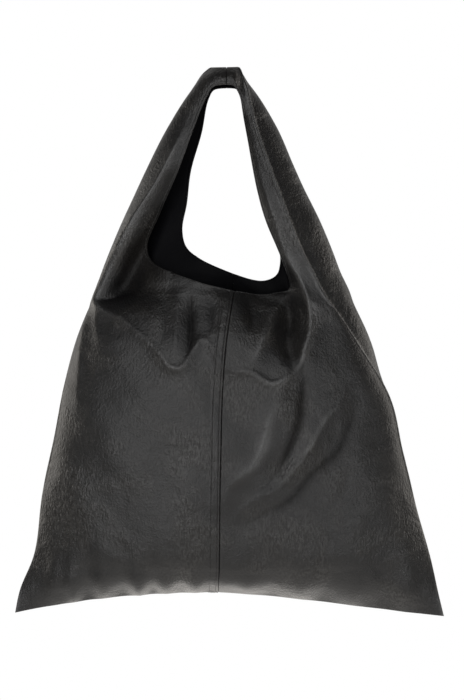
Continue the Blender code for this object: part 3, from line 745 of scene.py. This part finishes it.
def shut(name, outer, inner, cut, made_of):
    """A closed piece between two grids of points, which keeps its place on the cut as its UV map."""
    high, wide = outer.shape[:2]
    count = high * wide
    index = np.arange(count).reshape(high, wide)
    quads = np.stack([index[:-1, :-1], index[:-1, 1:], index[1:, 1:], index[1:, :-1]], axis=-1).reshape(-1, 4)
    border = np.concatenate([index[0, :-1], index[:-1, -1], index[-1, :0:-1], index[:0:-1, 0]])
    following = np.roll(border, -1)
    walls = np.stack([following, border, border + count, following + count], axis=-1)
    faces = np.concatenate([quads, quads[:, ::-1] + count, walls])
    corners = np.concatenate([outer.reshape(-1, 3), inner.reshape(-1, 3)])
    data = bpy.data.meshes.new(name)
    data.from_pydata(corners.tolist(), [], faces.tolist())
    uv = data.uv_layers.new(name="cut")
    places = np.concatenate([cut.reshape(-1, 2)] * 2)
    uv.data.foreach_set("uv", places[faces.reshape(-1)].astype(np.float32).reshape(-1))
    data.materials.append(made_of)
    piece = bpy.data.objects.new(name, data)
    scene.collection.objects.link(piece)
    first, second, third, fourth = (corners[faces[:, corner]] for corner in range(4))
    volume = (first * (np.cross(second, third) + np.cross(third, fourth))).sum()
    if volume < 0:
        data.flip_normals()
    data.shade_smooth()
    data.set_sharp_from_angle(angle=SHARP_FROM)
    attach(piece, "root")
    return piece


def new_material(name):
    made = bpy.data.materials.new(name)
    made.use_nodes = True
    return made, made.node_tree, made.node_tree.nodes["Principled BSDF"]


def noise(tree, place, scale, detail=2.0, rough=0.5, distortion=0.0):
    made = tree.nodes.new("ShaderNodeTexNoise")
    made.inputs["Scale"].default_value = scale
    made.inputs["Detail"].default_value = detail
    made.inputs["Roughness"].default_value = rough
    made.inputs["Distortion"].default_value = distortion
    tree.links.new(place, made.inputs["Vector"])
    return made.outputs["Fac"]


def product(tree, *values, way="MULTIPLY"):
    first = values[0]
    for value in values[1:]:
        made = tree.nodes.new("ShaderNodeMath")
        made.operation = way
        tree.links.new(first, made.inputs[0])
        tree.links.new(value, made.inputs[1])
        first = made.outputs["Value"]
    return first


def bump(tree, shader, *layers):
    """Lays one relief over the other, each with its strength and its depth in metres."""
    below = None
    for height, strength, depth in layers:
        made = tree.nodes.new("ShaderNodeBump")
        made.inputs["Strength"].default_value = strength
        made.inputs["Distance"].default_value = depth
        tree.links.new(height, made.inputs["Height"])
        if below is not None:
            tree.links.new(below, made.inputs["Normal"])
        below = made.outputs["Normal"]
    tree.links.new(below, shader.inputs["Normal"])


def two_tone(tree, shader, dark, light, share):
    made = tree.nodes.new("ShaderNodeMix")
    made.data_type = "RGBA"
    made.inputs["A"].default_value = (*dark, 1)
    made.inputs["B"].default_value = (*light, 1)
    tree.links.new(share, made.inputs["Factor"])
    tree.links.new(made.outputs["Result"], shader.inputs["Base Color"])


# Reads one of the panels' painted-light attributes: the crest highlight or the hollow shade
def painted_light_of(tree, title):
    made = tree.nodes.new("ShaderNodeAttribute")
    made.attribute_name = title
    return made.outputs["Fac"]


# The leather: a fine pebble grain, upright lines where it is stretched, soft dents below both, and a cloudy
# shine.
# Painted light: a painted highlight makes the fold crests shine more, and painted shade makes the hollows
# shine less.
grained, tree, shader = new_material("black_grained_leather")
place = tree.nodes.new("ShaderNodeTexCoord").outputs["Object"]
mottle = ramp(tree, noise(tree, place, 16, 4.0, 0.6, 0.6), 0.42, 0.66)
cloud = ramp(tree, noise(tree, place, 7, 3.0), 0.35, 0.65)
pebble = tree.nodes.new("ShaderNodeTexVoronoi")
pebble.feature = "DISTANCE_TO_EDGE"
pebble.inputs["Scale"].default_value = 780
tree.links.new(place, pebble.inputs["Vector"])
upright = tree.nodes.new("ShaderNodeMapping")
upright.inputs["Scale"].default_value = (480, 480, 190)
tree.links.new(place, upright.inputs["Vector"])
lines = noise(tree, upright.outputs["Vector"], 1.0, 1.5)
bump(
    tree, shader,
    (noise(tree, place, 17, 2.0, 0.5, 0.4), 1.0, 0.0042),
    (noise(tree, place, 42, 2.0, 0.5, 0.3), 1.0, 0.0006),
    (product(tree, lines, ramp(tree, mottle, 0, 1, 0.25, 1.0)), 1.0, 0.00085),
    (noise(tree, place, 400, 2.0, 0.6), 1.0, 0.0006),
    (ramp(tree, pebble.outputs["Distance"], 0.0, 0.28), 1.0, 0.00004),
)
two_tone(tree, shader, (0.0042, 0.0040, 0.0042), (0.0100, 0.0092, 0.0086), mottle)
roughness = ramp(tree, product(tree, mottle, cloud), 0, 1, 0.38, 0.30, shape="LINEAR")
tree.links.new(roughness, shader.inputs["Roughness"])
patchy = tree.nodes.new("ShaderNodeMix")
patchy.inputs["A"].default_value = 0.98
tree.links.new(mottle, patchy.inputs["Factor"])
tree.links.new(ramp(tree, lines, 0.38, 0.62, 0.78, 1.22), patchy.inputs["B"])
# The shine carries painted light: less in the hollows as painted shade, more on the crests as a painted
# highlight, over the grain's patchy shine
shine = product(
    tree,
    ramp(tree, painted_light_of(tree, "painted_hollow_shade"), 0, 1, 0.43, 0.10),
    ramp(tree, painted_light_of(tree, "painted_crest_highlight"), 0, 1, 1.0, 1.75),
    patchy.outputs["Result"],
)
tree.links.new(shine, shader.inputs["Specular IOR Level"])


def rounded(distance, radius):
    """The share of its full thickness that a sheet has at a distance from its rounded edge."""
    return np.sqrt(1 - (1 - np.clip(distance / radius, 0, 1)) ** 2)


# The allowance, pressed to the left, raises a band beside the centre seam, which small puckers cross.
# Each row of stitches draws the leather in along a groove, and the side seam is a bead higher up.
BAND_WIDTH = 0.0114
ALLOWANCE = 0.00055
BAND_PUCKER = 0.00010
STITCH_ROWS = (0.0030, 0.0103)
HEM_STITCH = 0.0030
GROOVE_WIDTH = 0.00045
SEAM_GROOVE, HEM_GROOVE = 0.00045, 0.00035
BEAD, BEAD_WIDTH, BEAD_FROM = 0.0011, 0.0016, 0.12
SEAM_ROUND, FOLD_ROUND, END_ROUND = 0.0012, 0.0008, 0.0010
for (face, name), (points, outward, from_seam, from_fold) in grids.items():
    up = rows[name][:, None]
    at_seam = between(0.35, 1, rounded(from_seam, SEAM_ROUND))
    at_fold = between(0.60, 1, rounded(from_fold, FOLD_ROUND))
    at_ends = between(0.25, 1, rounded(np.minimum(up, up[-1] - up), END_ROUND))
    thick = LEATHER * at_seam * at_fold * at_ends
    thick = thick + BEAD * bell(from_fold, BEAD_WIDTH) * smooth((up - BEAD_FROM) / 0.05)
    if name == "left":
        on_seam = smooth((top - up) / 0.002)
        band = smooth(from_seam / 0.0010) * smooth((BAND_WIDTH + 0.0012 - from_seam) / 0.0016)
        thick = thick + ALLOWANCE * band * on_seam
        for row in STITCH_ROWS:
            thick = thick - SEAM_GROOVE * bell(from_seam - row, GROOVE_WIDTH) * on_seam
        drawn = np.sin(up / 0.0013) + 0.7 * np.sin(up / 0.00215 + 1.0)
        thick = thick + BAND_PUCKER * drawn * band * on_seam
    on_strap = smooth((up - top) / 0.002)
    thick = thick - HEM_GROOVE * bell(from_seam - HEM_STITCH, GROOVE_WIDTH) * on_strap
    turn = np.interp(rows[name], sides[name].knots, sides[name].turn)
    apart = np.stack([np.sin(turn), np.cos(turn), 0 * turn], axis=1) * FACES[face] * SEAM_GAP / 2
    apart[:, 0] += SIDES[name] * SEAM_GAP / 2
    inner = points + apart[:, None]
    outer = inner + outward * thick[..., None]
    cut = np.stack([from_seam, np.broadcast_to(up, from_seam.shape)], axis=-1)
    panel = shut(f"{face}_{name}_leather", outer, inner, cut, grained)
    # The painted highlight and painted shade go onto each panel as attributes
    for title, values in painted_lights[face, name].items():
        painted_light = panel.data.attributes.new(title, "FLOAT", "POINT")
        painted_light.data.foreach_set("value", np.concatenate([values.ravel()] * 2).astype(np.float32))
    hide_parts(f"{face}_{name}_panel")
    grids[face, name].append(outer)

# Facings: two strips of smoother leather that line the strap and the top of the mouth, darker and duller than
# the outer leather as painted shade for the inside.
# The left one runs over the crown to a short joint on the right, and both end 26 mm below the shoulders.

FACING_GROOVE = 0.0003
shade_darkened_facing, tree, shader = new_material("shade_darkened_facing_leather")
place = tree.nodes.new("ShaderNodeTexCoord").outputs["Object"]
bump(tree, shader, (noise(tree, place, 55, 3.0), 0.35, 0.0014), (noise(tree, place, 600), 0.30, 0.0002))
# Painted shade: the facing's very dark tone and faint shine stand in for the shade inside the mouth and strap
two_tone(tree, shader, (0.0014, 0.0014, 0.0020), (0.0028, 0.0028, 0.0036), noise(tree, place, 30, 3.0))
tree.links.new(ramp(tree, noise(tree, place, 22), 0.3, 0.7, 0.55, 0.68), shader.inputs["Roughness"])
shader.inputs["Specular IOR Level"].default_value = 0.05


def strip(name, first, last=None):
    """Points, directions and distances from the hem of some rows, from the front hem to the back one."""
    both = zip(grids["front", name][:3], grids["back", name][:3])
    return [np.concatenate([front, back[:, -2::-1]], axis=1)[first:last] for front, back in both]


starts = {name: np.abs(at - facing_edge).argmin() for name, at in rows.items()}
joint_row = np.abs(rows["right"] - joint).argmin()
past_crown = strip("right", joint_row)
up_left = strip("left", starts["left"])
strips = {
    "left": [np.concatenate([own, past[-2::-1]]) for own, past in zip(up_left, past_crown)],
    "right": strip("right", starts["right"], joint_row + 1),
}
for name, (points, outward, from_seam) in strips.items():
    upward = unit(np.cross(outward[-1], np.gradient(points[-1], axis=0)))
    back = upward * np.sign((unit(points[-2] - points[-1]) * upward).sum(1, keepdims=True))
    points[-1] += back * SEAM_GAP / 2
    run = np.concatenate([[0], np.cumsum(np.linalg.norm(np.diff(points.mean(1), axis=0), axis=1))])[:, None]
    at_edge = rounded(np.minimum(from_seam / 0.0010, np.minimum(run, run[-1] - run) / 0.0009), 1)
    deep = FACING_INSET + FACING * between(0.25, 1, at_edge)
    deep = deep - FACING_GROOVE * bell(from_seam - HEM_STITCH, GROOVE_WIDTH)
    outer = points + [SIDES[name] * SEAM_GAP / 2, 0, 0] - FACING_INSET * outward
    inner = points + [SIDES[name] * SEAM_GAP / 2, 0, 0] - deep[..., None] * outward
    outer[..., 2] = np.minimum(outer[..., 2], FACING)
    inner[..., 2] = np.minimum(inner[..., 2], 0)
    cut = np.stack([from_seam, np.broadcast_to(run, from_seam.shape)], axis=-1)
    piece = shut(f"{name}_facing_strip", outer, inner, cut, shade_darkened_facing)
    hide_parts(f"{name}_facing")

# Linings: a front and a back bag of plain dark cloth, sewn to the facings' lower edges and hanging
# free inside the body.

# From the bottom to the shoulders: how far the lining hangs in from the side seam, up from the bottom
# seam and behind the leather.
LINING_INSETS = np.array((
    (0.0260, 0.0120, 0.0000),
    (0.0160, 0.0090, 0.0050),
    (0.0090, 0.0040, 0.0040),
    (0.0060, 0.0000, 0.0036),
    (0.0045, 0.0000, 0.0034),
    (0.0040, 0.0000, 0.0032),
    (0.0032, 0.0000, 0.0030),
    (0.0030, 0.0000, 0.0030),
))
LINING = 0.0008
LINING_GAP = 0.0009
LINING_INSET = FACING_INSET + FACING + LINING_GAP + LINING
LINING_FOLLOWS_FROM = (4, 5.5)
woven, tree, shader = new_material("dark_lining_cloth")
threads = []
for turn in (0, math.pi / 2):
    turned = tree.nodes.new("ShaderNodeMapping")
    turned.inputs["Rotation"].default_value = (0, 0, turn)
    tree.links.new(tree.nodes.new("ShaderNodeTexCoord").outputs["UV"], turned.inputs["Vector"])
    wave = tree.nodes.new("ShaderNodeTexWave")
    wave.inputs["Scale"].default_value = 350
    tree.links.new(turned.outputs["Vector"], wave.inputs["Vector"])
    threads.append(wave.outputs["Fac"])
weave = product(tree, *threads, way="MAXIMUM")
place = tree.nodes.new("ShaderNodeTexCoord").outputs["Object"]
bump(tree, shader, (noise(tree, place, 30, 3.0), 0.6, 0.003), (weave, 0.4, 0.0002))
two_tone(tree, shader, (0.010, 0.010, 0.011), (0.022, 0.021, 0.023), weave)
shader.inputs["Roughness"].default_value = 0.85
shader.inputs["Specular IOR Level"].default_value = 0.25

# The cloth needs only every second row and column of the leather's
hung = {name: Side(name, LINING_INSETS) for name in SIDES}
for face in FACES:
    halves = []
    for name, side in sides.items():
        last = np.abs(rows[name] - lining_top).argmin()
        chosen = np.unique(np.append(np.arange(5, last, 2), (0, last)))
        at = rows[name][chosen]
        free, _, _ = sheet(hung[name], face, at)
        free_outward = outwards(free, face, name)
        free = free + free_outward * lifts[face, name][chosen][..., None]
        free[..., 1] -= FACES[face] * depths[face, name][chosen]
        points, outward, from_seam, _, _ = (grid[chosen] for grid in grids[face, name])
        stations = np.interp(at, side.knots, np.arange(len(side.knots)))
        follows = np.interp(stations, LINING_FOLLOWS_FROM, (0, 1))[:, None, None]
        place = between(free, points - LINING_INSET * outward, follows)
        towards = unit(between(free_outward, outward, follows))
        thin = np.unique(np.append(np.arange(0, place.shape[1], 2), place.shape[1] - 1))
        halves.append([grid[:, thin] for grid in (place, towards, from_seam * SIDES[name])])
    place, towards, along = (np.concatenate([far[:, :0:-1], near], axis=1) for far, near in zip(*halves))
    inner = place + [0, FACES[face] * SEAM_GAP, 0]
    cut = np.stack([along, np.broadcast_to(at[:, None], along.shape)], axis=-1)
    piece = shut(f"{face}_lining_bag", inner + LINING * towards, inner, cut, woven)
    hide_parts(f"{face}_lining")

# Stitching: black twisted thread. Two rows hold down the allowance beside each centre seam. One row,
# 3 mm in from the hem, goes round the mouth and up the strap, and draws a groove in the facings.

STITCH_PITCH = 0.0036
STITCH_LENGTH = 0.0027
THREAD = 0.00055
bpy.ops.mesh.primitive_uv_sphere_add(segments=6, ring_count=5, radius=1)
stitch = bpy.context.object
stitch.name = "stitch"
shape = np.array([tuple(v.co) for v in stitch.data.vertices])
shape[:, :2] *= THREAD / 2
shape[:, 2] = np.sign(shape[:, 2]) * np.abs(shape[:, 2]) ** 0.7 * STITCH_LENGTH / 2
# In order, because the operator lists the faces in another order from run to run
stitch_faces = sorted(tuple(polygon.vertices) for polygon in stitch.data.polygons)
bpy.data.objects.remove(stitch, do_unlink=True)

thread, tree, shader = new_material("black_thread")
twist = noise(tree, tree.nodes.new("ShaderNodeTexCoord").outputs["Object"], 2500, 1.0)
bump(tree, shader, (twist, 0.5, 0.0001))
two_tone(tree, shader, (0.008, 0.008, 0.008), (0.020, 0.019, 0.019), twist)
shader.inputs["Roughness"].default_value = 0.5


def read_across(grid, from_seam, distance):
    """A line on a grid of points at one distance from the seam."""
    line = []
    for row, here in zip(grid, from_seam):
        after = np.searchsorted(here, distance)
        share = (distance - here[after - 1]) / (here[after] - here[after - 1])
        line.append(between(row[after - 1], row[after], share))
    return np.array(line)


def read_along(values, marks, at):
    return np.stack([np.interp(at, marks, column) for column in values.T], axis=1)


def stitches_along(line, outward):
    """Corners of a run of stitches lying on a line."""
    marks = np.concatenate([[0], np.cumsum(np.linalg.norm(np.diff(line, axis=0), axis=1))])
    count = int(marks[-1] / STITCH_PITCH)
    centres = (np.arange(count) + 0.5) * marks[-1] / count
    middle = read_along(line, marks, centres)
    along = unit(read_along(line, marks, centres + 0.001) - read_along(line, marks, centres - 0.001))
    up = read_along(outward, marks, centres)
    up = unit(up - (up * along).sum(1, keepdims=True) * along)
    frames = np.stack([np.cross(up, along), up, along], axis=1)
    return middle[:, None] + np.einsum("pk,nkc->npc", shape, frames)


def sew(name, face, half, distances, sewn):
    """Stitches on one panel, in a row at each of the distances from its seam or hem."""
    _, outward, from_seam, _, outer = grids[face, half]
    corners = np.concatenate([
        stitches_along(*(read_across(grid, from_seam, distance)[sewn] for grid in (outer, outward)))
        for distance in distances
    ])
    each = corners.shape[1]
    faces = [[v + number * each for v in ends] for number in range(len(corners)) for ends in stitch_faces]
    data = bpy.data.meshes.new(name)
    data.from_pydata(corners.reshape(-1, 3).tolist(), [], faces)
    data.materials.append(thread)
    data.shade_smooth()
    piece = bpy.data.objects.new(name, data)
    scene.collection.objects.link(piece)
    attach(piece, "root")


# The rows stop three grid rows short of the bottom seam and of the crown
CLEAR_ROWS = 3
for face in FACES:
    sew(f"{face}_seam_stitching", face, "left", STITCH_ROWS, slice(CLEAR_ROWS, body))
    for name in SIDES:
        sew(f"{face}_{name}_hem_stitching", face, name, [HEM_STITCH], slice(body, -CLEAR_ROWS))
